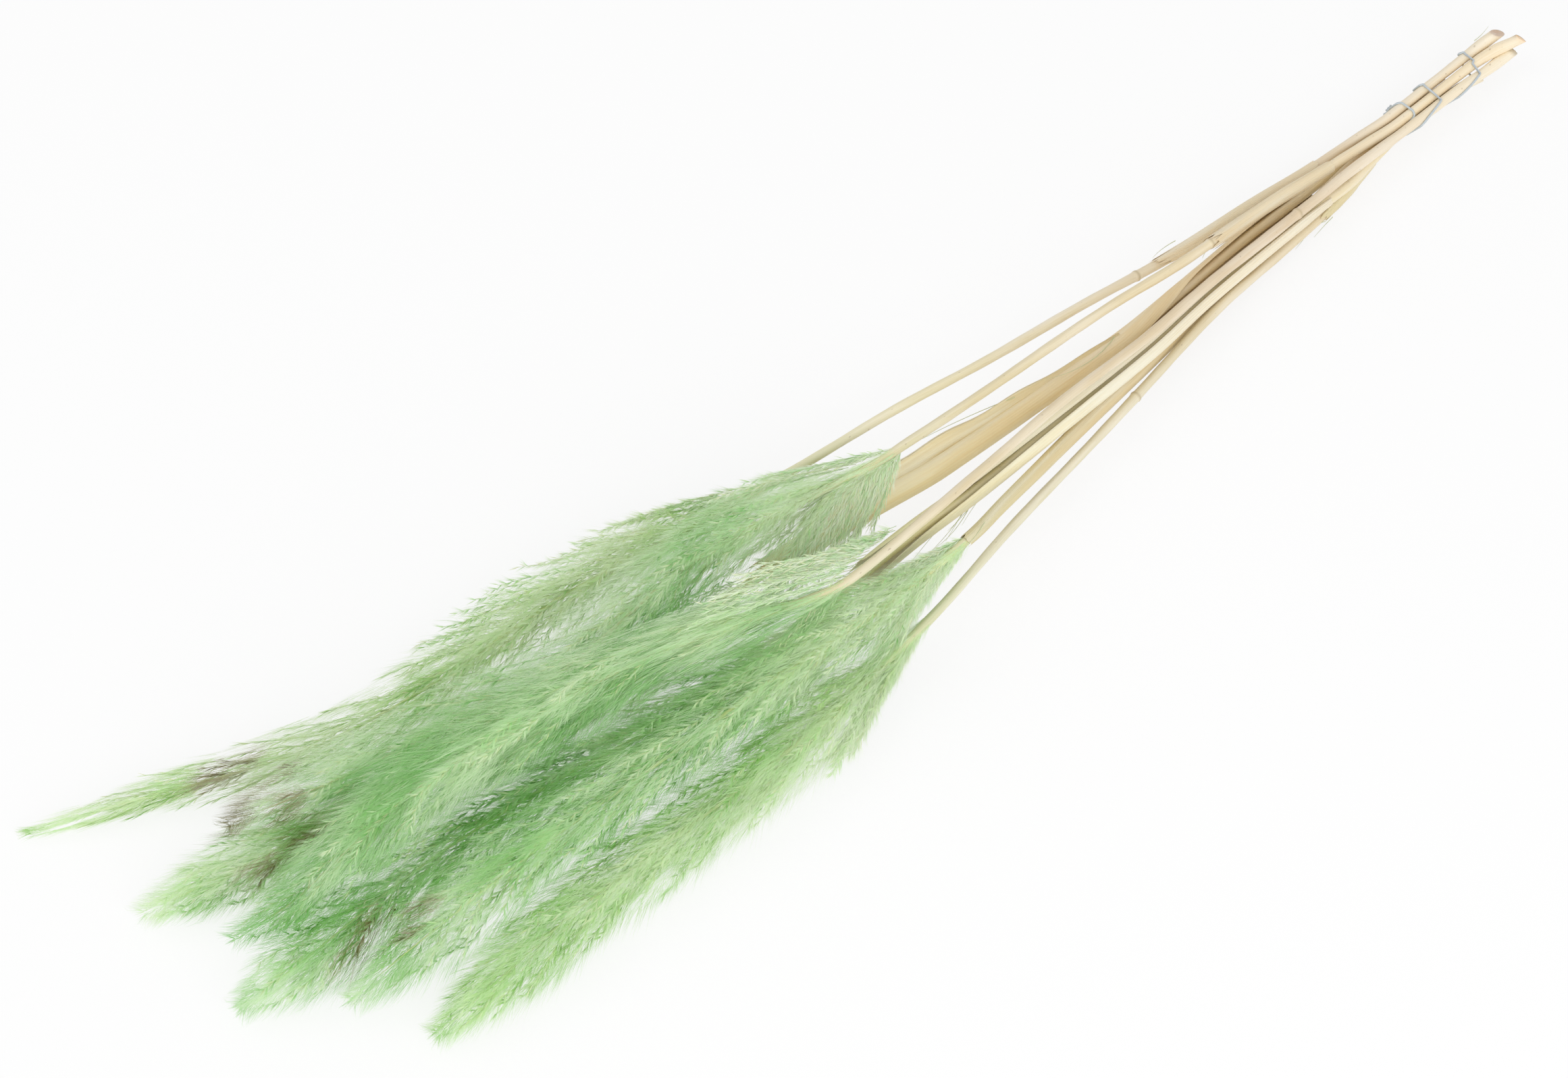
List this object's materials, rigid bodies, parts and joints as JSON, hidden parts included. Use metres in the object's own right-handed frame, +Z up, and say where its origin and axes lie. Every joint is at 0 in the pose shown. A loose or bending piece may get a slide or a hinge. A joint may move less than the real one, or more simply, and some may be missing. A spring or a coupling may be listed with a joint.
{
  "type": "pampas grass bunch",
  "caption": "Bunch of dried, dyed pampas grass lying down: feathery green plumes on slim straw stems, held near the cut ends by a wound elastic.",
  "frame": {"origin": "on the surface the bunch lies on, under the middle of its bounding box", "axes": "+X along the bunch from the plume tips to the cut ends, +Z up, +Y completes a right-handed frame"},
  "size_m": [0.7315, 0.1973, 0.0741],
  "materials": {
    "plume_fibre": "dyed mint green plume hairs, soft, silky and translucent",
    "straw_stem": "dry straw, pale beige, fine lengthwise grain, satin",
    "straw_sheath": "dry leaf sheath, straw yellow, ribbed, matt with a slight sheen",
    "elastic": "pale grey rubber, satin"
  },
  "bodies": {
    "root": {"stem_1": "straw_stem", "stem_2": "straw_stem", "stem_3": "straw_stem", "stem_4": "straw_stem", "stem_5": "straw_stem", "stem_6": "straw_stem", "stem_7": "straw_stem", "plume_1": "plume_fibre", "plume_2": "plume_fibre", "plume_3": "plume_fibre", "plume_4": "plume_fibre", "plume_5": "plume_fibre", "plume_6": "plume_fibre", "plume_7": "plume_fibre", "sheath_1": "straw_sheath", "sheath_2": "straw_sheath", "sheath_3": "straw_sheath", "sheath_5": "straw_sheath", "sheath_6": "straw_sheath", "leaf_blade": "straw_sheath", "elastic_tie": "elastic"}
  },
  "joints": []
}
